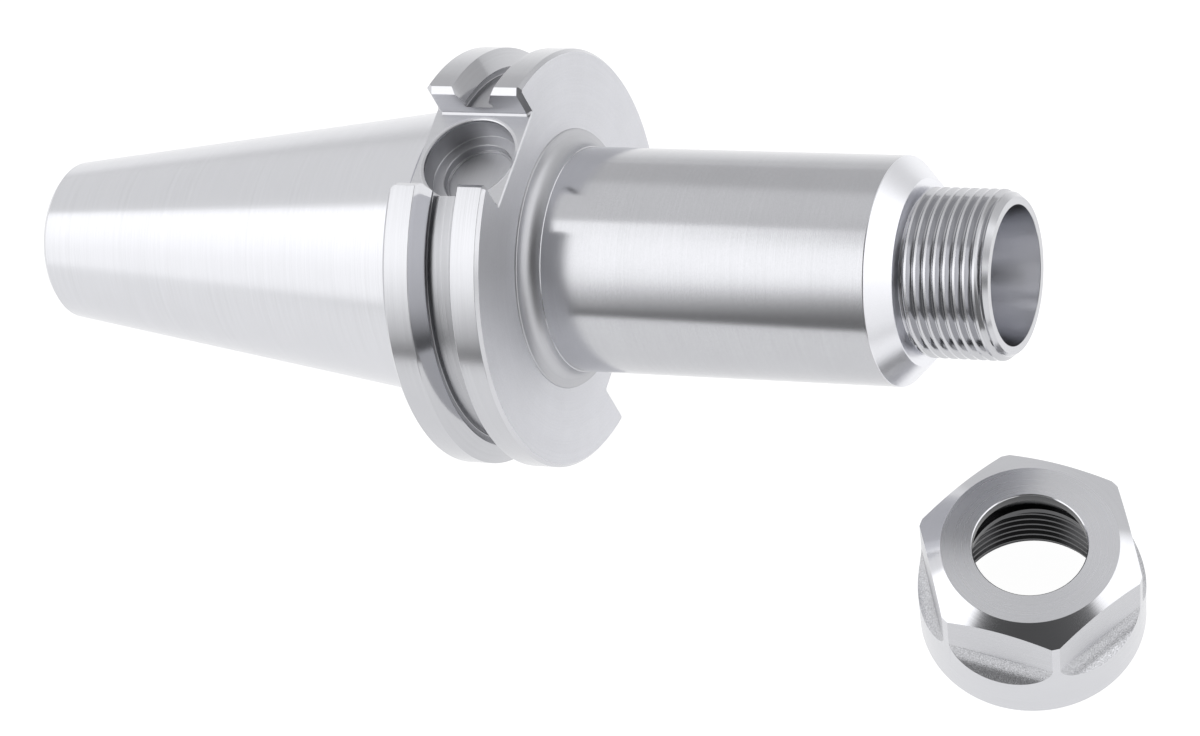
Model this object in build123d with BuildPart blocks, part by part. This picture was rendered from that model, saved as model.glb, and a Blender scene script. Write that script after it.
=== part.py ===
from build123d import *
import math
import os

# A steep-taper collet chuck lying on its tail, with its hexagon clamping nut taken off beside it.
# Sizes are in millimetres. Along the chuck's axis zero is the gauge line, plus is toward the nose.

# Taper shank
GAUGE_DIA = 44.45
TAPER_PER_LENGTH = 7 / 24
SHANK_LENGTH = 68.25
TAIL_CHAMFER = 0.8
TAPER_END = 1.2
SHANK_RELIEF_DEPTH = 0.5

# V-flange, its groove given by the distance over two gauge pins
FLANGE_DIA = 63.5
FLANGE_REAR = 3.175
FLANGE_FRONT = 19.05
RIM_CHAMFER = 0.5
GROOVE_CENTRE = 11.07
GROOVE_HALF_ANGLE = 30
GROOVE_PIN_DIA = 7.0
GROOVE_OVER_PINS = 72.3
GROOVE_FLANK_HEIGHT = 2.7
GROOVE_CHANNEL_DEPTH = 1.15
GROOVE_UNDERCUT = 0.35
GROOVE_UNDERCUT_HEIGHT = 0.7

# Drive slots, one shallower than the other, and the balance bore in the shallow one's floor
SLOT_WIDTH = 16.38
SHALLOW_FLOOR = 25.0
DEEP_FLOOR = 22.6
SLOT_CHAMFER = 1.0
BALANCE_CENTRE = 11.25
BALANCE_LIP = 0.6
BALANCE_STEPS = [(14.3, 4.0), (10.9, 5.35), (10.3, 5.6)]

# Nose, clamping thread and collet socket
NOSE_DIA = 34.0
NOSE_BOSS_DIA = 39.4
NOSE_BOSS_HEIGHT = 0.35
NOSE_ROOT_RADIUS = 2.45
NOSE_CHAMFER_START = 73.5
NOSE_CHAMFER = 3.2
FRONT_END = 90.5
THREAD_DIA = 25.0
THREAD_PITCH = 1.5
UNDERCUT_LENGTH = 1.6
UNDERCUT_DEPTH = 1.1
THREAD_END_CHAMFER = 0.8
SOCKET_MOUTH_DIA = 20.6
SOCKET_HALF_ANGLE = 8
SOCKET_DEPTH = 26.5
SOCKET_LIP = 0.3
CLEARANCE_BORE_DEPTH = 44.0

# Bores from the tail, for the retention stud and the draw-through coolant way
STUD_PILOT_DIA = 16.3
STUD_PILOT_DEPTH = 4.8
STUD_BORE_DIA = 13.5
STUD_BORE_DEPTH = 33.0
THROUGH_BORE_DIA = 10.0
DRILL_POINT_HALF_ANGLE = 59

# Clamping nut, standing on its thread end
NUT_DIA = 34.0
NUT_HEIGHT = 20.5
NUT_ACROSS_FLATS = 30.0
NUT_FACE_DIA = 26.4
NUT_CONE_ANGLE = 28
NUT_FOOT_CHAMFER = 0.5
FLAT_HEIGHT = 12.1
FLAT_RUNOUT_RADIUS = 4.8
NUT_BORE_DIA = 17.0
NUT_BORE_LENGTH = 1.6
NUT_BORE_LIP = 0.35
NUT_SEAT_ANGLE = 30
NUT_POCKET_DIA = 21.2
NUT_POCKET_LENGTH = 1.4
EXTRACTOR_DIA = 19.8
EXTRACTOR_OFFSET = 0.45
EXTRACTOR_WIDTH = 1.0
NUT_RELIEF_DIA = 25.4
NUT_RELIEF_LENGTH = 1.5
NUT_ENTRY_CHAMFER = 1.2

# Where the nut stands, from the point of the floor below the gauge line's centre
NUT_AHEAD = 95.3
NUT_ASIDE = -26.4
NUT_TURN = 25.9

# Cutting shapes run past the surface that they open by this much
OVERRUN = 1.0


def taper_radius(along):
    return (GAUGE_DIA + along * TAPER_PER_LENGTH) / 2


def sloped(rise, angle):
    return rise * math.tan(math.radians(angle))


def on_rim(edge):
    return math.hypot(edge.center().X, edge.center().Y) > flange_radius - RIM_CHAMFER


def on_end_face(edge):
    return min(abs(edge.center().Z - FLANGE_REAR), abs(edge.center().Z - FLANGE_FRONT)) < RIM_CHAMFER


flange_radius = FLANGE_DIA / 2
nose_radius = NOSE_DIA / 2
thread_radius = THREAD_DIA / 2
tail = -SHANK_LENGTH
slot_half = SLOT_WIDTH / 2

# The pins touch the groove's flanks, so their size and distance fix where the flanks would meet
pin_radius = GROOVE_PIN_DIA / 2
groove_apex = GROOVE_OVER_PINS / 2 - pin_radius - pin_radius / math.sin(math.radians(GROOVE_HALF_ANGLE))
groove_mouth = sloped(flange_radius - groove_apex, GROOVE_HALF_ANGLE)
flank_foot = flange_radius - GROOVE_FLANK_HEIGHT
groove_foot = sloped(flank_foot - groove_apex, GROOVE_HALF_ANGLE)
groove_bottom = flank_foot - GROOVE_CHANNEL_DEPTH
undercut_top = groove_bottom + GROOVE_UNDERCUT_HEIGHT
channel_half = groove_foot + GROOVE_UNDERCUT

shank_relief = taper_radius(TAPER_END) - SHANK_RELIEF_DEPTH
boss_face = FLANGE_FRONT + NOSE_BOSS_HEIGHT
shoulder = NOSE_CHAMFER_START + NOSE_CHAMFER
thread_start = shoulder + UNDERCUT_LENGTH
thread_root = thread_radius - UNDERCUT_DEPTH

# Holder body: one turned solid, with its axis on Z while it is made
with BuildPart() as holder_body:
    with BuildSketch(Plane.XZ) as turned_section:
        with BuildLine():
            shank_outline = Polyline(
                (0, tail),
                (taper_radius(tail + TAIL_CHAMFER) - TAIL_CHAMFER, tail),
                (taper_radius(tail + TAIL_CHAMFER), tail + TAIL_CHAMFER),
                (taper_radius(TAPER_END), TAPER_END),
                (shank_relief, TAPER_END + SHANK_RELIEF_DEPTH),
                (shank_relief, FLANGE_REAR),
                (flange_radius - RIM_CHAMFER, FLANGE_REAR),
                (flange_radius, FLANGE_REAR + RIM_CHAMFER),
                (flange_radius, GROOVE_CENTRE - groove_mouth),
                (flank_foot, GROOVE_CENTRE - groove_foot),
                (undercut_top, GROOVE_CENTRE - groove_foot),
                (undercut_top, GROOVE_CENTRE - channel_half),
                (groove_bottom, GROOVE_CENTRE - channel_half),
                (groove_bottom, GROOVE_CENTRE + channel_half),
                (undercut_top, GROOVE_CENTRE + channel_half),
                (undercut_top, GROOVE_CENTRE + groove_foot),
                (flank_foot, GROOVE_CENTRE + groove_foot),
                (flange_radius, GROOVE_CENTRE + groove_mouth),
                (flange_radius, FLANGE_FRONT - RIM_CHAMFER),
                (flange_radius - RIM_CHAMFER, FLANGE_FRONT),
                (NOSE_BOSS_DIA / 2, FLANGE_FRONT),
                (NOSE_BOSS_DIA / 2, boss_face),
                (nose_radius + NOSE_ROOT_RADIUS, boss_face),
            )
            nose_root = RadiusArc(
                shank_outline @ 1, (nose_radius, boss_face + NOSE_ROOT_RADIUS), NOSE_ROOT_RADIUS
            )
            nose_outline = Polyline(
                nose_root @ 1,
                (nose_radius, NOSE_CHAMFER_START),
                (nose_radius - NOSE_CHAMFER, shoulder),
                (thread_root, shoulder),
                (thread_root, thread_start - UNDERCUT_DEPTH / 2),
                (thread_radius, thread_start),
                (thread_radius, FRONT_END - THREAD_END_CHAMFER),
                (thread_radius - THREAD_END_CHAMFER, FRONT_END),
                (0, FRONT_END),
                (0, tail),
            )
        make_face()
    revolve(axis=Axis.Z)

    # Drive slots: the shallow one faces +X here, the deep one -X
    with BuildSketch(Plane.XY.offset(FLANGE_REAR - OVERRUN)):
        with Locations((SHALLOW_FLOOR, 0)):
            Rectangle(flange_radius, SLOT_WIDTH, align=(Align.MIN, Align.CENTER))
        with Locations((-DEEP_FLOOR, 0)):
            Rectangle(flange_radius, SLOT_WIDTH, align=(Align.MAX, Align.CENTER))
    extrude(amount=FLANGE_FRONT - FLANGE_REAR + 2 * OVERRUN, mode=Mode.SUBTRACT)

    # The slot walls' edges are broken, first along the two rims, then on the flange's end faces
    rim_edges = holder_body.faces().filter_by(Axis.Y).edges().filter_by(Axis.Z).filter_by(on_rim)
    chamfer(rim_edges, SLOT_CHAMFER)
    end_edges = holder_body.faces().filter_by(Axis.Y).edges().filter_by(Axis.X).filter_by(on_end_face)
    chamfer(end_edges, SLOT_CHAMFER)

    # Stepped balance bore with a broken lip
    with Locations(Plane(origin=(SHALLOW_FLOOR, 0, BALANCE_CENTRE), z_dir=(1, 0, 0))):
        for diameter, depth in BALANCE_STEPS:
            Hole(diameter / 2, depth)
        lip_radius = BALANCE_STEPS[0][0] / 2
        Cone(
            lip_radius,
            lip_radius + BALANCE_LIP,
            BALANCE_LIP,
            align=(Align.CENTER, Align.CENTER, Align.MAX),
            mode=Mode.SUBTRACT,
        )

    # Collet socket, tool clearance, coolant way and stud bore, turned as one stepped bore
    socket_radius = SOCKET_MOUTH_DIA / 2
    clearance_radius = socket_radius - sloped(SOCKET_DEPTH, SOCKET_HALF_ANGLE)
    through_radius = THROUGH_BORE_DIA / 2
    stud_radius = STUD_BORE_DIA / 2
    clearance_end = FRONT_END - CLEARANCE_BORE_DEPTH
    point_slope = math.radians(DRILL_POINT_HALF_ANGLE)
    clearance_point = clearance_end - (clearance_radius - through_radius) / math.tan(point_slope)
    stud_end = tail + STUD_BORE_DEPTH
    stud_point = stud_end + (stud_radius - through_radius) / math.tan(point_slope)
    with BuildSketch(Plane.XZ):
        with BuildLine():
            Polyline(
                (0, FRONT_END),
                (socket_radius + SOCKET_LIP, FRONT_END),
                (socket_radius - sloped(SOCKET_LIP, SOCKET_HALF_ANGLE), FRONT_END - SOCKET_LIP),
                (clearance_radius, FRONT_END - SOCKET_DEPTH),
                (clearance_radius, clearance_end),
                (through_radius, clearance_point),
                (through_radius, stud_point),
                (stud_radius, stud_end),
                (stud_radius, tail + STUD_PILOT_DEPTH),
                (STUD_PILOT_DIA / 2, tail + STUD_PILOT_DEPTH),
                (STUD_PILOT_DIA / 2, tail),
                (0, tail),
                close=True,
            )
        make_face()
    revolve(axis=Axis.Z, mode=Mode.SUBTRACT)

# Clamping nut: thread end on the floor, wrench flats and face upward
nut_radius = NUT_DIA / 2
nut_face_radius = NUT_FACE_DIA / 2
flat_distance = NUT_ACROSS_FLATS / 2
thread_bore_radius = (THREAD_DIA - 1.0825 * THREAD_PITCH) / 2
bore_radius = NUT_BORE_DIA / 2
pocket_radius = NUT_POCKET_DIA / 2
seat_top = NUT_HEIGHT - NUT_BORE_LENGTH
seat_foot = seat_top - (pocket_radius - bore_radius) / math.tan(math.radians(NUT_SEAT_ANGLE))
extractor_top = seat_foot - NUT_POCKET_LENGTH
extractor_foot = extractor_top - EXTRACTOR_WIDTH
relief_foot = extractor_foot - NUT_RELIEF_LENGTH
runout_centre = flat_distance + FLAT_RUNOUT_RADIUS
clear_radius = nut_radius + OVERRUN
runout_drop = math.sqrt(FLAT_RUNOUT_RADIUS**2 - (runout_centre - clear_radius) ** 2)

# One wrench flat's milling: down along the flat, then out through a hollow run-out
with BuildPart() as flat_cut:
    with BuildSketch(Plane.XZ):
        with BuildLine():
            flat_side = Polyline((clear_radius, NUT_HEIGHT), (flat_distance, NUT_HEIGHT), (flat_distance, FLAT_HEIGHT))
            runout = RadiusArc(flat_side @ 1, (clear_radius, FLAT_HEIGHT - runout_drop), -FLAT_RUNOUT_RADIUS)
            Line(runout @ 1, flat_side @ 0)
        make_face()
    extrude(amount=nut_radius, both=True)

with BuildPart() as clamping_nut:
    with BuildSketch(Plane.XZ):
        with BuildLine():
            Polyline(
                (0, 0),
                (nut_radius - NUT_FOOT_CHAMFER, 0),
                (nut_radius, NUT_FOOT_CHAMFER),
                (nut_radius, NUT_HEIGHT - sloped(nut_radius - nut_face_radius, NUT_CONE_ANGLE)),
                (nut_face_radius, NUT_HEIGHT),
                (0, NUT_HEIGHT),
                close=True,
            )
        make_face()
    revolve(axis=Axis.Z)
    with PolarLocations(0, 6):
        add(flat_cut.part, mode=Mode.SUBTRACT)

    # Thread bore and its relief, from the thread end
    with BuildSketch(Plane.XZ):
        with BuildLine():
            Polyline(
                (0, 0),
                (thread_bore_radius + NUT_ENTRY_CHAMFER, 0),
                (thread_bore_radius, NUT_ENTRY_CHAMFER),
                (thread_bore_radius, relief_foot),
                (NUT_RELIEF_DIA / 2, relief_foot),
                (NUT_RELIEF_DIA / 2, extractor_foot),
                (0, extractor_foot),
                close=True,
            )
        make_face()
    revolve(axis=Axis.Z, mode=Mode.SUBTRACT)

    # Collet seat and front bore, from the face
    with BuildSketch(Plane.XZ):
        with BuildLine():
            Polyline(
                (0, extractor_top),
                (pocket_radius, extractor_top),
                (pocket_radius, seat_foot),
                (bore_radius, seat_top),
                (bore_radius, NUT_HEIGHT - NUT_BORE_LIP),
                (bore_radius + NUT_BORE_LIP, NUT_HEIGHT),
                (0, NUT_HEIGHT),
                close=True,
            )
        make_face()
    revolve(axis=Axis.Z, mode=Mode.SUBTRACT)

    # The extractor ring between them is bored off centre, to hook the collet's groove on one side
    with BuildSketch(Plane.XY.offset(extractor_foot)):
        with Locations((EXTRACTOR_OFFSET, 0)):
            Circle(EXTRACTOR_DIA / 2)
    extrude(amount=EXTRACTOR_WIDTH, mode=Mode.SUBTRACT)

# The holder rests on its tail's edge and on the two corners of the deep slot
rim_contact = math.sqrt(flange_radius**2 - (slot_half + SLOT_CHAMFER) ** 2)
rim_along = FLANGE_REAR + RIM_CHAMFER
tail_contact = taper_radius(tail + TAIL_CHAMFER)
tail_along = tail + TAIL_CHAMFER
tilt = math.atan2(rim_contact - tail_contact, rim_along - tail_along)
gauge_height = rim_contact * math.cos(tilt) - rim_along * math.sin(tilt)
rest_plane = Plane(
    origin=(0, 0, gauge_height),
    x_dir=(-math.sin(tilt), 0, math.cos(tilt)),
    z_dir=(math.cos(tilt), 0, math.sin(tilt)),
)
holder_at_rest = holder_body.part.moved(rest_plane.location)
nut_at_rest = clamping_nut.part.moved(Location((NUT_AHEAD, NUT_ASIDE, 0), (0, 0, NUT_TURN)))

# The origin is the centre of the whole set's footprint, on the floor
footprint = holder_at_rest.bounding_box().add(nut_at_rest.bounding_box())
to_origin = Location((-footprint.center().X, -footprint.center().Y, -footprint.min.Z))
holder_at_rest = holder_at_rest.moved(to_origin)
nut_at_rest = nut_at_rest.moved(to_origin)
holder_at_rest.label = "holder_body"
nut_at_rest.label = "clamping_nut"

os.makedirs("parts", exist_ok=True)
export_step(holder_at_rest, "parts/holder_body.step")
export_step(nut_at_rest, "parts/clamping_nut.step")
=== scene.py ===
import math

import bmesh
import bpy
import numpy as np
from mathutils import Matrix, Vector


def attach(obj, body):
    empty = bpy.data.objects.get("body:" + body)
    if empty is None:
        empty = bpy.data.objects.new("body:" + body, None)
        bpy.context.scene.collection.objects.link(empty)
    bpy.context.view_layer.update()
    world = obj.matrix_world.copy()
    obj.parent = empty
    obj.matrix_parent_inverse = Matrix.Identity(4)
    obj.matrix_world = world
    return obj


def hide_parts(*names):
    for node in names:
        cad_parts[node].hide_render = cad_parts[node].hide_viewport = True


# A steep-taper collet chuck lying on its tail and its clamping nut beside it, dressed for a white studio.
# Shapes are written in millimetres in each piece's own frame, with the turning axis on Z. The chuck's zero
# is its gauge line, with plus toward the nose, and the nut's is its thread end.

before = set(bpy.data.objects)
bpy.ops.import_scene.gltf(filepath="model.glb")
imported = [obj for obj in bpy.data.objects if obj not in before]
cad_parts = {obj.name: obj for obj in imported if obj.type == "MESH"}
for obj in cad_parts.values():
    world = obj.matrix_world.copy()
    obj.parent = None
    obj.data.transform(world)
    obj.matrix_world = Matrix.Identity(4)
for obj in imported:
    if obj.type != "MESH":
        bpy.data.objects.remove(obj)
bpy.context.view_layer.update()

MM = 0.001

# Where the two pieces lie
CHUCK_TILT = math.radians(14.203755)
CHUCK_ORIGIN = Vector((-21.6465, 5.825, 28.5712)) * MM
NUT_TURN = math.radians(25.9)
NUT_ORIGIN = Vector((73.6535, -20.575, 0.0111)) * MM

# Taper shank
GAUGE_DIA = 44.45
TAPER_PER_LENGTH = 7 / 24
TAIL_END = -68.25
TAIL_CHAMFER = 0.8
TAPER_END = 1.2
SHANK_RELIEF_RADIUS = 21.9
SHANK_RELIEF_START = 1.7

# V-flange, its groove given as half widths about its centre
FLANGE_RADIUS = 31.75
FLANGE_REAR = 3.175
FLANGE_FRONT = 19.05
RIM_CHAMFER = 0.5
GROOVE_CENTRE = 11.07
GROOVE_MOUTH = 3.522
GROOVE_FOOT = 1.963
GROOVE_FOOT_RADIUS = 29.05
CHANNEL_HALF = 2.313
CHANNEL_LIP_RADIUS = 28.6
CHANNEL_RADIUS = 27.9

# Drive slots, with the slope that breaks their walls' edges along the rim
SLOT_HALF = 8.19
SHALLOW_FLOOR = 25.0
DEEP_FLOOR = 22.6
SLOT_FOOT = 0.28
SLOT_CHAMFER = 1.0
SLOT_BREAK = 2.87
SLOT_BREAK_FOOT = 29.675
SLOT_BREAK_TOP = 31.84
SLOT_FRONT_BREAK = 0.7
SLOT_FLOOR_BREAK = 0.2
SLOT_CUT_TOP = 36.0

# Balance bore: its lip as radius and depth, its steps as radius, depth and the break of their edges
BALANCE_CENTRE = 11.25
BALANCE_LIP = [(7.75, -1.5), (7.75, 0.0), (7.25, 0.25), (7.15, 0.6)]
BALANCE_STEPS = [(7.15, 4.0, 0.1), (5.45, 5.35, 0.05), (5.15, 5.6, 0.0)]

# Nose, a little wider at its root, and its thread
BOSS_RADIUS = 19.7
BOSS_FACE = 19.4
NOSE_RADIUS = 17.0
NOSE_ROOT = 2.4
NOSE_STEP = 0.12
NOSE_STEP_START = 21.92
NOSE_STEP_END = 22.0
NOSE_CHAMFER_START = 73.5
NOSE_CHAMFER = 3.2
SHOULDER = NOSE_CHAMFER_START + NOSE_CHAMFER
UNDERCUT_RADIUS = 11.4
FRONT_END = 90.5
THREAD_RADIUS = 12.5
THREAD_START = 77.1
THREAD_START_SLOPE = 3.0
THREAD_PHASE = 1.305
THREAD_CREST = 0.33
THREAD_END_RADIUS = 11.45
THREAD_END_SLOPE = 0.75

# Collet socket, tool clearance, coolant way and stud bore
SOCKET_RADIUS = 10.27
SOCKET_LIP = 0.05
SOCKET_LIP_DEPTH = 0.08
CLEARANCE_RADIUS = 6.5757
CLEARANCE_START = 64.0
CLEARANCE_END = 46.5
CLEARANCE_POINT = 45.553
THROUGH_RADIUS = 5.0
STUD_POINT = -34.198
STUD_END = -35.25
STUD_RADIUS = 6.75
PILOT_END = -63.45
PILOT_RADIUS = 8.15
PILOT_CHAMFER = 0.3

# Nut
NUT_RADIUS = 17.0
NUT_HEIGHT = 20.5
NUT_FOOT_CHAMFER = 0.5
NUT_CONE_FOOT = 18.479
NUT_FACE_RADIUS = 13.2
NUT_BORE_RADIUS = 8.5
NUT_BORE_LIP = 0.16
NUT_SEAT_TOP = 18.9
NUT_SEAT_FOOT = 15.263
NUT_POCKET_RADIUS = 10.6
EXTRACTOR_RADIUS = 9.9
EXTRACTOR_OFFSET = 0.45
EXTRACTOR_TOP = 13.863
EXTRACTOR_FOOT = 12.863
NUT_RELIEF_RADIUS = 12.7
NUT_THREAD_TOP = 11.363
NUT_MINOR_RADIUS = 11.688
NUT_ENTRY_CHAMFER = 1.2
FLAT_DISTANCE = 15.0
FLAT_HEIGHT = 12.1
FLAT_CUT_REACH = 21.0
RUNOUT_RADIUS = 4.8
RUNOUT_SWEEP = math.radians(68)

# Both threads, and where along the pitch the rows of their meshes lie: crest, flank, root and flank
PITCH = 1.5
FLANK_SLOPE = math.sqrt(3)
ROOT_RADIUS = 0.1443 * PITCH
NUT_CREST = PITCH / 4
CHUCK_OFFSETS = [0.0, 0.165, 0.33, 0.53, 0.728, 0.81, 0.915, 1.02, 1.102, 1.3]
NUT_OFFSETS = [0.0, 0.375, 0.609, 0.84375, 1.03125, 1.266]

# How fine the meshes are, with the step of arcs in degrees, and how close points merge, in metres
CHUCK_COLUMNS = 192
NUT_COLUMNS = 180
BALANCE_COLUMNS = 96
RUNOUT_STEPS = 14
ARC_STEP = 12
SHARP_ANGLE = math.radians(28)
TURNED_MERGE = 2e-8
CARVED_MERGE = 1e-7

# Cutting shapes run past the surface that they open by this much
OVERRUN = 1.0

# What cut a face, as the cutters number their faces
SLOT_CUT = 1
BALANCE_CUT = 2
FLAT_CUT = 3

# Where one finish gives way to the next: by place, and by how squarely a face looks along the axis
NEAR = 0.05
GROOVE_REACH = 6.0
BRIGHT_MOUTH = 90.15
BRIGHT_THREAD_END = 89.6
NUT_INSIDE_RADIUS = 13.0
NUT_INSIDE_TOP = 20.33
LAPPED_START = 20.1
LAPPED_RADIUS = 8.7
CONE_START = 18.4
SQUARE = 0.98
FLANK_LEAST = 0.6
SLANTED = 0.2

# Each milled finish takes its marks from its own place in the noise, past this one
MILLED_NOISE_PLACE = 40.0

ALONG_X = Vector((1, 0, 0))
ALONG_Y = Vector((0, 1, 0))
ALONG_Z = Vector((0, 0, 1))


# Finishes

STUDIO_FINISHES = [
    # name, grey, roughness, anisotropy, marks per mm, mark strength, mottling, relief, grain
    ("ground_taper", 0.67, 0.2, 0.5, 9.0, 0.05, 0.02, 0.03, 0.0),
    ("blasted_face", 0.81, 0.58, 0.0, 4.0, 0.02, 0.04, 0.02, 0.05),
    ("turned_rim", 0.57, 0.2, 0.45, 9.0, 0.05, 0.02, 0.03, 0.0),
    ("ground_flank", 0.54, 0.1, 0.2, 9.0, 0.05, 0.02, 0.03, 0.0),
    ("turned_channel", 0.5, 0.3, 0.3, 5.0, 0.06, 0.04, 0.03, 0.04),
    ("milled_slot", 0.62, 0.34, 0.0, 5.0, 0.04, 0.04, 0.02, 0.04),
    ("milled_balance_bore", 0.58, 0.42, 0.0, 6.0, 0.04, 0.03, 0.02, 0.02),
    ("turned_nose", 0.56, 0.16, 0.2, 9.0, 0.04, 0.03, 0.02, 0.07),
    ("polished_edge", 0.62, 0.22, 0.2, 9.0, 0.03, 0.02, 0.02, 0.0),
    ("satin_chamfer", 0.9, 0.3, 0.1, 9.0, 0.04, 0.02, 0.02, 0.03),
    ("cut_thread", 0.55, 0.14, 0.3, 12.0, 0.05, 0.03, 0.03, 0.0),
    ("ground_bore", 0.72, 0.2, 0.3, 9.0, 0.06, 0.03, 0.03, 0.0),
    ("lapped_face", 0.76, 0.28, 0.6, 10.0, 0.025, 0.03, 0.02, 0.0),
    ("polished_cone", 0.72, 0.11, 0.3, 9.0, 0.04, 0.02, 0.03, 0.0),
    ("milled_flat", 0.59, 0.28, 0.2, 6.0, 0.04, 0.02, 0.02, 0.02),
    ("rough_runout", 0.7, 0.26, 0.0, 3.0, 0.04, 0.06, 0.1, 0.5),
    ("turned_base", 0.65, 0.22, 0.45, 9.0, 0.06, 0.02, 0.03, 0.0),
    # nut_thread: near-black grey on every face inside the nut, its thread, seat and lip alike: painted shade
    # for the deep bore
    ("nut_thread", 0.1, 0.26, 0.4, 9.0, 0.08, 0.04, 0.03, 0.0),
    ("turned_fillet", 0.56, 0.43, 0.0, 7.0, 0.04, 0.03, 0.02, 0.03),
]
# The same finishes by number, as each piece's material slots have them
(
    TAPER, BLASTED, RIM, FLANK, CHANNEL, SLOT, BALANCE, NOSE, BRIGHT, SATIN, THREAD, BORE,
    LAPPED, CONE, FLAT, RUNOUT, BASE, NUT_INSIDE_PAINTED_SHADE, FILLET,
) = range(len(STUDIO_FINISHES))
COOL_TINT = (0.992, 0.998, 1.04)
QUARTER_TURN = 0.25
MARK_STRETCH = 0.04
CLOUD_SCALE = 160
SPECKLE_SCALE = 5200
NOISE_ROUGHNESS = 0.6
NOISE_RANGE = (0.3, 0.7)
BUMP_DISTANCE = 0.00005


def connect(tree, node, inputs):
    """Sets a node's inputs, each to a number, a colour or a vector, or to another node's output."""
    for name, value in inputs.items():
        if isinstance(value, bpy.types.NodeSocket):
            tree.links.new(value, node.inputs[name])
        else:
            node.inputs[name].default_value = value


def arithmetic(tree, operation, *values):
    """The result of a Math node on sockets or numbers."""
    node = tree.nodes.new("ShaderNodeMath")
    node.operation = operation
    connect(tree, node, dict(enumerate(values)))
    return node.outputs[0]


def remap(tree, value, low, high, at_low, at_high, interpolation="LINEAR"):
    """A value that runs from at_low to at_high while another runs from low to high."""
    node = tree.nodes.new("ShaderNodeMapRange")
    node.interpolation_type = interpolation
    ends = {"From Min": low, "From Max": high, "To Min": at_low, "To Max": at_high}
    connect(tree, node, {"Value": value, **ends})
    return node.outputs["Result"]


def steel(name, grey, roughness, anisotropy, marks, strength, mottling, relief, grain):
    """Bare steel with tool marks that follow the lay of its surface, faint mottling, and a blasted grain."""
    material = bpy.data.materials.new(name)
    material.use_nodes = True
    tree = material.node_tree

    def attribute(called):
        node = tree.nodes.new("ShaderNodeAttribute")
        node.attribute_name = called
        return node.outputs["Vector"]

    def noise(vector, scale, detail):
        node = tree.nodes.new("ShaderNodeTexNoise")
        inputs = {"Vector": vector, "Scale": scale, "Detail": detail, "Roughness": NOISE_ROUGHNESS}
        connect(tree, node, inputs)
        return node.outputs["Fac"]

    def spread(value, at_low, at_high):
        return remap(tree, value, *NOISE_RANGE, at_low, at_high)

    stretched = tree.nodes.new("ShaderNodeMapping")
    stretch = (marks, MARK_STRETCH, MARK_STRETCH)
    connect(tree, stretched, {"Vector": attribute("marks"), "Scale": stretch})
    streaks = noise(stretched.outputs["Vector"], 1, 3)
    where = tree.nodes.new("ShaderNodeTexCoord").outputs["Object"]
    clouds = noise(where, CLOUD_SCALE, 5)
    speckle = noise(where, SPECKLE_SCALE, 2)

    marked = spread(streaks, 1 - strength, 1)
    mottled = arithmetic(tree, "MULTIPLY", marked, spread(clouds, 1 - mottling, 1))
    tone = arithmetic(tree, "MULTIPLY", mottled, spread(speckle, 1 - grain, 1))
    shade = tree.nodes.new("ShaderNodeMix")
    shade.data_type = "RGBA"
    full = (*(grey * part for part in COOL_TINT), 1)
    connect(tree, shade, {"Factor": tone, "A": (0, 0, 0, 1), "B": full})

    bump = tree.nodes.new("ShaderNodeBump")
    height = speckle if grain > relief else streaks
    connect(tree, bump, {"Strength": relief + grain, "Distance": BUMP_DISTANCE, "Height": height})
    surface = {
        "Metallic": 1,
        "Base Color": shade.outputs["Result"],
        "Roughness": spread(streaks, roughness * (1 + 2 * strength), roughness * (1 - 2 * strength)),
        "Anisotropic": anisotropy,
        "Anisotropic Rotation": QUARTER_TURN,
        "Tangent": attribute("lay"),
        "Normal": bump.outputs["Normal"],
    }
    connect(tree, tree.nodes["Principled BSDF"], surface)
    return material


finishes = [steel(*row) for row in STUDIO_FINISHES]


# Turned shapes

def rounded(points):
    """Profile points (radius, height, corner radius) with each corner replaced by a small arc."""
    made = []
    for i, (r, z, corner) in enumerate(points):
        here = Vector((r, z))
        if corner <= 0 or i in (0, len(points) - 1):
            made.append((r, z))
            continue
        back = (Vector(points[i - 1][:2]) - here).normalized()
        ahead = (Vector(points[i + 1][:2]) - here).normalized()
        half = back.angle(ahead) / 2
        reach = corner / math.tan(half)
        centre = here + (back + ahead).normalized() * corner / math.sin(half)
        start = here + back * reach - centre
        turn = start.angle_signed(here + ahead * reach - centre)
        steps = max(3, math.ceil(abs(math.degrees(turn)) / ARC_STEP))
        for k in range(steps + 1):
            a = -turn * k / steps
            across = start.x * math.cos(a) - start.y * math.sin(a)
            along = start.x * math.sin(a) + start.y * math.cos(a)
            made.append(tuple(centre + Vector((across, along))))
    return made


def external_depth(s):
    """Depth below the crest of an external thread at s along the pitch, with a rounded root."""
    s = s % PITCH
    if s <= THREAD_CREST:
        return 0.0
    away = abs(s - (PITCH + THREAD_CREST) / 2)
    apex = (PITCH - THREAD_CREST) / 2 * FLANK_SLOPE
    if away < ROOT_RADIUS * math.cos(math.radians(30)):
        return apex - 2 * ROOT_RADIUS + math.sqrt(ROOT_RADIUS**2 - away**2)
    return apex - away * FLANK_SLOPE


def internal_height(s):
    """Height above the minor radius that an internal thread is cut to at s along the pitch."""
    s = s % PITCH
    if s <= NUT_CREST:
        return 0.0
    away = abs(s - (PITCH + NUT_CREST) / 2)
    return min(THREAD_RADIUS - NUT_MINOR_RADIUS, max(0.0, ((PITCH - NUT_CREST) / 2 - away) * FLANK_SLOPE))


def helix_rows(start, end, phase, offsets, columns, surface):
    """Rows of (radius, height) for each column that climb with the thread, held between start and end."""
    first = math.floor((start - phase) / PITCH) - 1
    last = math.ceil((end - phase) / PITCH)
    rows = []
    for turn in range(first, last + 1):
        for offset in offsets:
            along = phase + turn * PITCH + offset
            row = []
            for j in range(columns):
                z = min(end, max(start, along + PITCH * j / columns))
                row.append((surface(z, j / columns), z))
            rows.append(row)
    return rows


def add_object(name, data):
    made = bpy.data.objects.new(name, data)
    bpy.context.scene.collection.objects.link(made)
    return made


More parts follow.
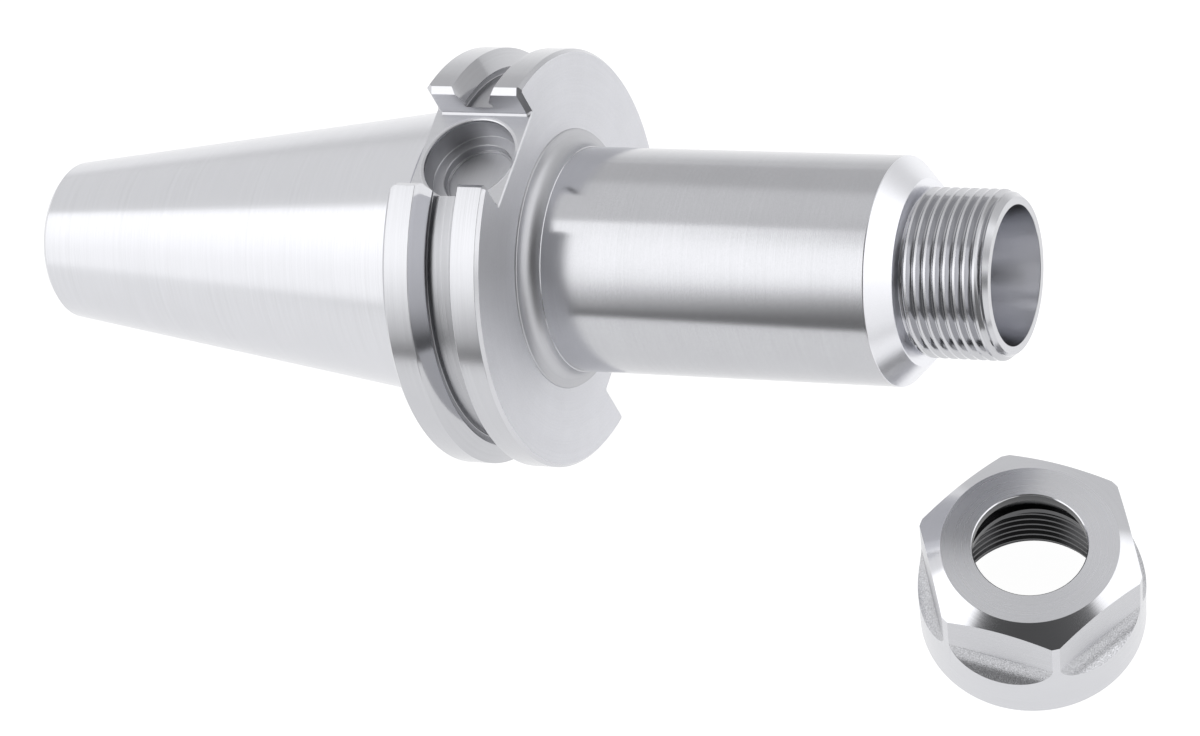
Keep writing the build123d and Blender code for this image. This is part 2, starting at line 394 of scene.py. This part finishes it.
def mesh_object(name, bm):
    mesh = bpy.data.meshes.new(name)
    bm.to_mesh(mesh)
    bm.free()
    return add_object(name, mesh)


def turned_mesh(name, blocks, columns):
    """A closed body of revolution, from blocks of rows in turn.

    A block is (shift, rows) and a row is one (radius, height) or, for a thread, a list with one for each
    column. Where a thread's turn closes, each row meets the one that lies shift rows further on.
    """
    bm = bmesh.new()
    rings = []
    meets = []
    for shift, rows in blocks:
        first = len(rings)
        last = first + len(rows) - 1
        for row in rows:
            meets.append(min(last, max(first, len(rings) + shift)))
            cells = [row] * columns if isinstance(row, tuple) else row
            ring = []
            for j, (r, z) in enumerate(cells):
                a = 2 * math.pi * j / columns
                ring.append(bm.verts.new((r * MM * math.cos(a), r * MM * math.sin(a), z * MM)))
            rings.append(ring)
    for i, ring in enumerate(rings):
        ahead = (i + 1) % len(rings)
        for j in range(columns - 1):
            bm.faces.new((ring[j], ring[j + 1], rings[ahead][j + 1], rings[ahead][j]))
        seam = [rings[meets[i]][0]]
        if meets[ahead] != meets[i]:
            seam.append(rings[meets[ahead]][0])
        bm.faces.new([ring[-1], *seam, rings[ahead][-1]])
    bmesh.ops.remove_doubles(bm, verts=bm.verts, dist=TURNED_MERGE)
    bmesh.ops.dissolve_degenerate(bm, edges=bm.edges, dist=TURNED_MERGE)
    bmesh.ops.delete(bm, geom=[v for v in bm.verts if not v.link_faces], context="VERTS")
    bmesh.ops.recalc_face_normals(bm, faces=bm.faces)
    piece = mesh_object(name, bm)
    for finish in finishes:
        piece.data.materials.append(finish)
    return piece


def loft(name, sections, cut):
    """A closed solid through sections of as many points each. The faces that it cuts are numbered cut."""
    bm = bmesh.new()
    rings = [[bm.verts.new(Vector(p) * MM) for p in section] for section in sections]
    count = len(rings[0])
    for low, high in zip(rings, rings[1:]):
        for i in range(count):
            j = (i + 1) % count
            bm.faces.new((low[i], low[j], high[j], high[i]))
    bm.faces.new(rings[0][::-1])
    bm.faces.new(rings[-1])
    bmesh.ops.recalc_face_normals(bm, faces=bm.faces)
    for face in bm.faces:
        face.material_index = cut
    return mesh_object(name, bm)


def carve(piece, cutters):
    """Cuts each cutter from the piece and keeps the result as its mesh."""
    for cutter in cutters:
        step = piece.modifiers.new("cut", "BOOLEAN")
        step.operation = "DIFFERENCE"
        step.solver = "EXACT"
        step.object = cutter
        bpy.context.view_layer.update()
        ready = piece.evaluated_get(bpy.context.evaluated_depsgraph_get())
        mesh = bpy.data.meshes.new_from_object(ready)
        piece.modifiers.clear()
        piece.data = mesh
        bpy.data.objects.remove(cutter)
    bm = bmesh.new()
    bm.from_mesh(piece.data)
    bmesh.ops.remove_doubles(bm, verts=bm.verts, dist=CARVED_MERGE)
    bmesh.ops.dissolve_degenerate(bm, edges=bm.edges, dist=CARVED_MERGE)
    bm.to_mesh(piece.data)
    bm.free()


def smooth(piece):
    """Smooth shading with sharp edges past an angle; large faces keep their own direction."""
    piece.data.polygons.foreach_set("use_smooth", [True] * len(piece.data.polygons))
    piece.data.set_sharp_from_angle(angle=SHARP_ANGLE)
    step = piece.modifiers.new("weighted_normals", "WEIGHTED_NORMAL")
    step.keep_sharp = True
    step.weight = 100


def from_axis(centre, normal):
    """A face's distance from the turning axis, and how far it faces away from the axis."""
    radius = math.hypot(centre.x, centre.y)
    return radius, (normal.x * centre.x + normal.y * centre.y) / max(radius, 1e-6)


def across_marks(r, z, steepness):
    """Where a turned point lies across the tool marks, by how much its face looks along the axis."""
    if steepness >= SQUARE:
        return r
    if steepness > SLANTED:
        return r + z
    return z


def finish_regions(piece, regions, place):
    """Gives each face its finish and each corner its tool marks, then lays the piece in place.

    regions(face centre, face normal, cut by) returns (finish, lay). The lay is None on turned surfaces, where
    the marks run round the axis, and otherwise the direction that the marks run in.
    """
    mesh = piece.data
    lays = np.zeros((len(mesh.loops), 3), np.float32)
    marks = np.zeros((len(mesh.loops), 3), np.float32)
    spin = np.array(place.to_3x3())
    points = np.array([v.co for v in mesh.vertices]) / MM
    for face in mesh.polygons:
        centre = Vector(face.center) / MM
        finish, lay = regions(centre, Vector(face.normal), face.material_index)
        face.material_index = finish
        for loop in face.loop_indices:
            x, y, z = points[mesh.loops[loop].vertex_index]
            if lay is None:
                r = math.hypot(x, y)
                lays[loop] = spin @ np.array((-y, x, 0)) / max(r, 1e-6)
                marks[loop] = (across_marks(r, z, abs(face.normal.z)), x, y)
            else:
                side = np.array(lay.cross(face.normal))
                lays[loop] = spin @ np.array(lay)
                marks[loop] = (side @ (x, y, z), np.array(lay) @ (x, y, z), MILLED_NOISE_PLACE + finish)
    for name, values in (("lay", lays), ("marks", marks)):
        layer = mesh.attributes.new(name, "FLOAT_VECTOR", "CORNER")
        layer.data.foreach_set("vector", values.ravel())
    mesh.transform(place)


# Chuck

def taper_radius(along):
    return (GAUGE_DIA + along * TAPER_PER_LENGTH) / 2


def chuck_thread(z, turn):
    """The chuck's thread's radius at a height, from its run-in at the undercut to its chamfered end."""
    start = UNDERCUT_RADIUS + (z - THREAD_START) * THREAD_START_SLOPE
    end = THREAD_END_RADIUS + (FRONT_END - z) * THREAD_END_SLOPE
    return min(start, end, THREAD_RADIUS - external_depth(z - THREAD_PHASE - PITCH * turn))


def slot_section(floor, way, half, z):
    """A drive slot's section at one height, with the broken edge where its walls meet the rim."""
    side = [
        (SLOT_CUT_TOP, half + SLOT_BREAK),
        (SLOT_BREAK_TOP, half + SLOT_BREAK),
        (SLOT_BREAK_FOOT, half),
        (floor + SLOT_FOOT, half),
        (floor, half - SLOT_FOOT),
    ]
    points = [(x, -y) for x, y in side[::-1]] + side
    return [(x * way, y, z) for x, y in points]


def slot_cutter(floor, way):
    """The cutter of a drive slot that opens toward +X or -X, with chamfered rear and broken front edges."""
    wide = SLOT_HALF + SLOT_CHAMFER + OVERRUN
    front_half = SLOT_HALF + SLOT_FRONT_BREAK
    sections = [
        slot_section(floor, way, wide, FLANGE_REAR - OVERRUN),
        slot_section(floor, way, SLOT_HALF, FLANGE_REAR + SLOT_CHAMFER),
        slot_section(floor, way, SLOT_HALF, FLANGE_FRONT - SLOT_FRONT_BREAK),
        slot_section(floor, way, front_half - SLOT_FLOOR_BREAK, FLANGE_FRONT - SLOT_FLOOR_BREAK),
        slot_section(floor - SLOT_FLOOR_BREAK - OVERRUN, way, front_half + OVERRUN, FLANGE_FRONT + OVERRUN),
    ]
    return loft("slot_cutter", sections, SLOT_CUT)


def balance_cutter():
    """The stepped balance bore in the shallow slot's floor, with its broken lip."""
    profile = list(BALANCE_LIP)
    for (radius, depth, edge), (inner, *_) in zip(BALANCE_STEPS, BALANCE_STEPS[1:]):
        profile += [(radius, depth - edge), (radius - edge, depth)]
        profile += [(inner + edge, depth), (inner, depth + edge)]
    profile.append(BALANCE_STEPS[-1][:2])
    sections = []
    for radius, depth in profile:
        ring = []
        for k in range(BALANCE_COLUMNS):
            a = 2 * math.pi * k / BALANCE_COLUMNS
            ring.append((SHALLOW_FLOOR - depth, radius * math.cos(a), BALANCE_CENTRE + radius * math.sin(a)))
        sections.append(ring)
    return loft("balance_cutter", sections, BALANCE_CUT)


# Half of the groove from its mouth to its channel, as radius, distance from the centre and corner radius
groove_half = [
    (FLANGE_RADIUS, GROOVE_MOUTH, 0.1),
    (GROOVE_FOOT_RADIUS, GROOVE_FOOT, 0.08),
    (CHANNEL_LIP_RADIUS, GROOVE_FOOT, 0.05),
    (CHANNEL_LIP_RADIUS, CHANNEL_HALF, 0.12),
    (CHANNEL_RADIUS, CHANNEL_HALF, 0.2),
]
# The chuck's profile outside and then inside, as radius, height and corner radius
outside = [
    (PILOT_RADIUS + PILOT_CHAMFER, TAIL_END, 0),
    (taper_radius(TAIL_END + TAIL_CHAMFER) - TAIL_CHAMFER, TAIL_END, 0.12),
    (taper_radius(TAIL_END + TAIL_CHAMFER), TAIL_END + TAIL_CHAMFER, 0.35),
    (taper_radius(TAPER_END), TAPER_END, 0.08),
    (SHANK_RELIEF_RADIUS, SHANK_RELIEF_START, 0.15),
    (SHANK_RELIEF_RADIUS, FLANGE_REAR, 0.35),
    (FLANGE_RADIUS - RIM_CHAMFER, FLANGE_REAR, 0.08),
    (FLANGE_RADIUS, FLANGE_REAR + RIM_CHAMFER, 0.08),
    *((radius, GROOVE_CENTRE - away, corner) for radius, away, corner in groove_half),
    *((radius, GROOVE_CENTRE + away, corner) for radius, away, corner in groove_half[::-1]),
    (FLANGE_RADIUS, FLANGE_FRONT - RIM_CHAMFER, 0.08),
    (FLANGE_RADIUS - RIM_CHAMFER, FLANGE_FRONT, 0.08),
    (BOSS_RADIUS, FLANGE_FRONT, 0.05),
    (BOSS_RADIUS, BOSS_FACE, 0.3),
    (NOSE_RADIUS + NOSE_STEP, BOSS_FACE, NOSE_ROOT),
    (NOSE_RADIUS + NOSE_STEP, NOSE_STEP_START, 0),
    (NOSE_RADIUS, NOSE_STEP_END, 0),
    (NOSE_RADIUS, NOSE_CHAMFER_START, 0.3),
    (NOSE_RADIUS - NOSE_CHAMFER, SHOULDER, 0.2),
    (UNDERCUT_RADIUS, SHOULDER, 0.25),
    (UNDERCUT_RADIUS, THREAD_START, 0),
]
inside = [
    (SOCKET_RADIUS + SOCKET_LIP, FRONT_END, 0),
    (SOCKET_RADIUS, FRONT_END - SOCKET_LIP_DEPTH, 0),
    (CLEARANCE_RADIUS, CLEARANCE_START, 0.3),
    (CLEARANCE_RADIUS, CLEARANCE_END, 0.05),
    (THROUGH_RADIUS, CLEARANCE_POINT, 0.2),
    (THROUGH_RADIUS, STUD_POINT, 0.2),
    (STUD_RADIUS, STUD_END, 0.05),
    (STUD_RADIUS, PILOT_END, 0.1),
    (PILOT_RADIUS, PILOT_END, 0.2),
    (PILOT_RADIUS, TAIL_END + PILOT_CHAMFER, 0.05),
    (PILOT_RADIUS + PILOT_CHAMFER, TAIL_END, 0),
]
chuck_rows = helix_rows(THREAD_START, FRONT_END, THREAD_PHASE, CHUCK_OFFSETS, CHUCK_COLUMNS, chuck_thread)
chuck_blocks = [(0, rounded(outside)[:-1]), (len(CHUCK_OFFSETS), chuck_rows), (0, rounded(inside)[:-1])]
chuck = turned_mesh("chuck_body", chuck_blocks, CHUCK_COLUMNS)
carve(chuck, [slot_cutter(SHALLOW_FLOOR, 1), slot_cutter(DEEP_FLOOR, -1), balance_cutter()])


def slot_finish(normal):
    """The finish and lay of a face that a slot's cutter left."""
    if abs(normal.z) > 0.5:
        return SLOT, ALONG_X
    on_break = 0.3 < abs(normal.x) < 0.9
    return (BRIGHT if on_break else SLOT), ALONG_Z


def balance_finish(centre, normal):
    """The finish and lay of a face in the balance bore, whose axis is on X."""
    around = ALONG_X.cross(normal)
    if around.length < 0.1:
        return BALANCE, ALONG_Y
    on_lip = around.length < 0.97 and centre.x > SHALLOW_FLOOR - 1
    return (BRIGHT if on_lip else BALANCE), around.normalized()


def chuck_regions(centre, normal, cut):
    """The finish of a face of the chuck, and the lay of its marks."""
    if cut == SLOT_CUT:
        return slot_finish(normal)
    if cut == BALANCE_CUT:
        return balance_finish(centre, normal)
    radius, outward = from_axis(centre, normal)
    inward = outward < -0.1
    if inward and centre.z > BRIGHT_MOUTH:
        return BRIGHT, None
    if inward and radius < THREAD_RADIUS or radius < PILOT_RADIUS + PILOT_CHAMFER + NEAR:
        return BORE, None
    if centre.z < TAPER_END + NEAR:
        return TAPER, None
    if centre.z < FLANGE_REAR - NEAR:
        return RIM, None
    if centre.z < FLANGE_FRONT + NEAR:
        in_groove = abs(centre.z - GROOVE_CENTRE) < GROOVE_REACH
        if abs(normal.z) > SQUARE:
            return (CHANNEL if in_groove else BLASTED), None
        if radius < GROOVE_FOOT_RADIUS - NEAR:
            return CHANNEL, None
        if abs(normal.z) > FLANK_LEAST and in_groove:
            return FLANK, None
        return (RIM if outward > 0.95 else BRIGHT), None
    if centre.z < NOSE_STEP_START:
        return FILLET, None
    if centre.z < NOSE_CHAMFER_START - NEAR:
        return NOSE, None
    if centre.z < SHOULDER + 2 * NEAR:
        return SATIN, None
    on_crest = radius > THREAD_RADIUS - NEAR or centre.z > BRIGHT_THREAD_END
    return (BRIGHT if on_crest else THREAD), None


smooth(chuck)
axis = Vector((math.cos(CHUCK_TILT), 0, math.sin(CHUCK_TILT)))
up = Vector((-math.sin(CHUCK_TILT), 0, math.cos(CHUCK_TILT)))
chuck_turn = Matrix((up, axis.cross(up), axis)).transposed().to_4x4()
finish_regions(chuck, chuck_regions, Matrix.Translation(CHUCK_ORIGIN) @ chuck_turn)


# Nut

def nut_thread(z, turn):
    """The nut's thread's radius at a height, widened by the chamfer at its entry."""
    entry = NUT_MINOR_RADIUS + NUT_ENTRY_CHAMFER - z
    return max(entry, NUT_MINOR_RADIUS + internal_height(z - PITCH * turn))


def extractor_row(z):
    """One row of the extractor ring, which is bored off centre."""
    row = []
    for j in range(NUT_COLUMNS):
        a = 2 * math.pi * j / NUT_COLUMNS
        reach = math.sqrt(EXTRACTOR_RADIUS**2 - (EXTRACTOR_OFFSET * math.sin(a)) ** 2)
        row.append((EXTRACTOR_OFFSET * math.cos(a) + reach, z))
    return row


def flat_cutter(turn):
    """One wrench flat's milling, which leaves through a hollow run-out."""
    outline = [(FLAT_CUT_REACH, NUT_HEIGHT + OVERRUN), (FLAT_DISTANCE, NUT_HEIGHT + OVERRUN)]
    for k in range(RUNOUT_STEPS + 1):
        a = RUNOUT_SWEEP * k / RUNOUT_STEPS
        out = FLAT_DISTANCE + RUNOUT_RADIUS * (1 - math.cos(a))
        outline.append((out, FLAT_HEIGHT - RUNOUT_RADIUS * math.sin(a)))
    outline.append((FLAT_CUT_REACH, outline[-1][1]))
    cos, sin = math.cos(turn), math.sin(turn)
    sections = []
    for side in (-NUT_RADIUS - OVERRUN, NUT_RADIUS + OVERRUN):
        sections.append([(x * cos - side * sin, x * sin + side * cos, z) for x, z in outline])
    return loft("flat_cutter", sections, FLAT_CUT)


# The nut's profile from its thread's entry over the outside into the pocket, written like the chuck's
nut_outside = [
    (NUT_MINOR_RADIUS + NUT_ENTRY_CHAMFER, 0, 0),
    (NUT_RADIUS - NUT_FOOT_CHAMFER, 0, 0.08),
    (NUT_RADIUS, NUT_FOOT_CHAMFER, 0.15),
    (NUT_RADIUS, NUT_CONE_FOOT, 0.1),
    (NUT_FACE_RADIUS, NUT_HEIGHT, 0.12),
    (NUT_BORE_RADIUS + NUT_BORE_LIP, NUT_HEIGHT, 0.03),
    (NUT_BORE_RADIUS, NUT_HEIGHT - NUT_BORE_LIP, 0.03),
    (NUT_BORE_RADIUS, NUT_SEAT_TOP, 0.15),
    (NUT_POCKET_RADIUS, NUT_SEAT_FOOT, 0.1),
    (NUT_POCKET_RADIUS, EXTRACTOR_TOP, 0),
]
nut_rows = helix_rows(0.0, NUT_THREAD_TOP, 0.0, NUT_OFFSETS, NUT_COLUMNS, nut_thread)
nut_blocks = [
    (0, rounded(nut_outside)),
    (0, [extractor_row(EXTRACTOR_TOP), extractor_row(EXTRACTOR_FOOT)]),
    (0, [(NUT_RELIEF_RADIUS, EXTRACTOR_FOOT), (NUT_RELIEF_RADIUS, NUT_THREAD_TOP)]),
    (-len(NUT_OFFSETS), nut_rows[::-1]),
]
nut = turned_mesh("nut_body", nut_blocks, NUT_COLUMNS)
carve(nut, [flat_cutter(math.radians(60 * k)) for k in range(6)])


def nut_regions(centre, normal, cut):
    """The finish of a face of the nut, and the lay of its marks."""
    if cut == FLAT_CUT:
        return (FLAT if abs(normal.z) < 0.01 else RUNOUT), ALONG_Z.cross(normal).normalized()
    radius, outward = from_axis(centre, normal)
    # Every face inside the nut below its face takes the near-black nut_thread grey: painted shade in the bore
    if radius < NUT_INSIDE_RADIUS and outward < 0.5 and centre.z < NUT_INSIDE_TOP:
        return NUT_INSIDE_PAINTED_SHADE, None
    if centre.z > LAPPED_START and abs(normal.z) > SQUARE and radius > LAPPED_RADIUS:
        return LAPPED, None
    return (CONE if centre.z > CONE_START else BASE), None


smooth(nut)
finish_regions(nut, nut_regions, Matrix.Translation(NUT_ORIGIN) @ Matrix.Rotation(NUT_TURN, 4, "Z"))

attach(chuck, "root")
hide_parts("holder_body")
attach(nut, "root")
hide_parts("clamping_nut")


# Studio: a finite white paper, and soft boxes in a dim room

FLOOR_CORNERS = [(-3, -0.22, 0), (0.2, -0.22, 0), (0.2, 4, 0), (-3, 4, 0)]
PAPER_GREY = 0.16
PAPER_ROUGHNESS = 0.9
PAPER_GLOW = 0.98
# Between these depths along Y the glow that reflections see drops to the far level: painted light that dims
# away from the pieces
PAPER_PAINTED_FALLOFF_START = 0.1
PAPER_PAINTED_FALLOFF_END = 0.33
PAPER_FAR_PAINTED_GLOW = 0.72
WHITE = (1, 1, 1, 1)

# The dim room is brighter toward one azimuth and elevation and darker toward another. Each has its range of
# agreement with that direction, and what the light is multiplied by at both ends of the range
ROOM_GLOW = ((100, 40), (0.1, 0.65, 0.24, 0.74))
ROOM_SHADE = ((-75, 66), (0.76, 0.84, 1, 0.3))

# Soft boxes: azimuth, reach to both sides of it and lowest and highest elevation, softness of those four
# edges, all in degrees, and brightness. The left box is also a little dimmer toward its foot
LEFT_FILL = (150, (-27, 60, -20, 60), (9, 20, 10, 9), 0.96)
LEFT_BOX = (-165, (-23, 47, -8, 54), (6, 9, 8, 2), 1.75)
RIGHT_BOX = (15, (-42, 42, 5, 52), (6, 10, 7, 3), 1.5)
RIGHT_FILL = (-45, (-16, 22, -12, 30), (8, 3, 6, 8), 1.1)
LEFT_BOX_FADE = (0.2, 0.65, 0.8, 1)


def paper():
    """White paper that is white to the eye and still takes a soft shadow. In reflections its glow is painted
    light, full near the pieces and dimmer farther back along Y.
    """
    material = bpy.data.materials.new("white_paper")
    material.use_nodes = True
    tree = material.node_tree
    split = tree.nodes.new("ShaderNodeSeparateXYZ")
    connect(tree, split, {0: tree.nodes.new("ShaderNodeTexCoord").outputs["Object"]})
    depth = split.outputs["Y"]
    # Painted light: reflections see the paper glow less the farther back it lies
    painted_falloff_glow = remap(tree, depth, PAPER_PAINTED_FALLOFF_START, PAPER_PAINTED_FALLOFF_END, PAPER_GLOW, PAPER_FAR_PAINTED_GLOW)
    path = tree.nodes.new("ShaderNodeLightPath")
    strength = 0.0
    levels = {"Is Camera Ray": PAPER_GLOW, "Is Glossy Ray": painted_falloff_glow, "Is Transmission Ray": PAPER_GLOW}
    for ray, level in levels.items():
        strength = arithmetic(tree, "MULTIPLY_ADD", path.outputs[ray], level, strength)
    surface = {
        "Base Color": (PAPER_GREY, PAPER_GREY, PAPER_GREY, 1),
        "Roughness": PAPER_ROUGHNESS,
        "Emission Color": WHITE,
        "Emission Strength": strength,
    }
    connect(tree, tree.nodes["Principled BSDF"], surface)
    return material


def compass(azimuth, elevation):
    """The direction of an azimuth and elevation in degrees, with azimuth zero on +X."""
    a, e = math.radians(azimuth), math.radians(elevation)
    return Vector((math.cos(a) * math.cos(e), math.sin(a) * math.cos(e), math.sin(e)))


def studio_world():
    """A dim room with soft boxes, which the camera itself sees as plain white."""
    world = bpy.data.worlds.new("studio")
    world.use_nodes = True
    tree = world.node_tree
    looking = tree.nodes.new("ShaderNodeTexCoord").outputs["Generated"]

    def facing(direction):
        """How far the looked-at direction agrees with a given one."""
        node = tree.nodes.new("ShaderNodeVectorMath")
        node.operation = "DOT_PRODUCT"
        connect(tree, node, {0: looking, 1: direction})
        return node.outputs["Value"]

    def fade(value, *ends):
        return remap(tree, value, *ends, interpolation="SMOOTHSTEP")

    def multiply(first, second):
        return arithmetic(tree, "MULTIPLY", first, second)

    def brightest(*lights):
        light = lights[0]
        for other in lights[1:]:
            light = arithmetic(tree, "MAXIMUM", light, other)
        return light

    def soft_box(azimuth, sides, edges, level):
        ahead = facing(compass(azimuth, 0))
        turned = arithmetic(tree, "ARCTAN2", facing(compass(azimuth + 90, 0)), ahead)
        raised = arithmetic(tree, "ARCSINE", facing(ALONG_Z))
        limits = [(math.radians(side - edge), math.radians(side + edge)) for side, edge in zip(sides, edges)]
        light = level
        for value, low, high in ((turned, *limits[:2]), (raised, *limits[2:])):
            light = multiply(fade(value, *low, 0, 1), light)
            light = multiply(fade(value, *high, 1, 0), light)
        return light

    glow, shade = (fade(facing(compass(*toward)), *ends) for toward, ends in (ROOM_GLOW, ROOM_SHADE))
    room = multiply(glow, shade)
    left_box = multiply(soft_box(*LEFT_BOX), fade(facing(ALONG_Z), *LEFT_BOX_FADE))
    light = brightest(room, soft_box(*LEFT_FILL), soft_box(*RIGHT_FILL), left_box, soft_box(*RIGHT_BOX))
    seen = tree.nodes.new("ShaderNodeMix")
    seen.data_type = "FLOAT"
    by_camera = tree.nodes.new("ShaderNodeLightPath").outputs["Is Camera Ray"]
    connect(tree, seen, {"Factor": by_camera, "A": light, "B": 1})
    connect(tree, tree.nodes["Background"], {"Color": WHITE, "Strength": seen.outputs["Result"]})
    return world


floor_mesh = bpy.data.meshes.new("floor")
floor_mesh.from_pydata(FLOOR_CORNERS, [], [(0, 1, 2, 3)])
floor_mesh.materials.append(paper())
floor = add_object("floor", floor_mesh)
bpy.context.scene.world = studio_world()


# Camera, with its place in metres and the directions of its picture as fitted to the photograph

CAMERA_PLACE = Vector((0.16459, -0.34474, 0.59827))
CAMERA_RIGHT = Vector((0.95484, 0.27852, -0.10347))
CAMERA_DOWN = Vector((0.18233, -0.82423, -0.5361))
CAMERA_AHEAD = Vector((-0.2346, 0.49302, -0.83779))

camera_data = bpy.data.cameras.new("camera")
camera_data.sensor_width = 36
camera_data.lens = 135.65
camera_data.clip_start = 0.01
camera_data.clip_end = 50
camera = add_object("camera", camera_data)
camera_turn = Matrix((CAMERA_RIGHT, -CAMERA_DOWN, -CAMERA_AHEAD)).transposed().to_4x4()
camera.matrix_world = Matrix.Translation(CAMERA_PLACE) @ camera_turn
bpy.context.scene.camera = camera

bpy.context.scene.view_settings.view_transform = "Standard"
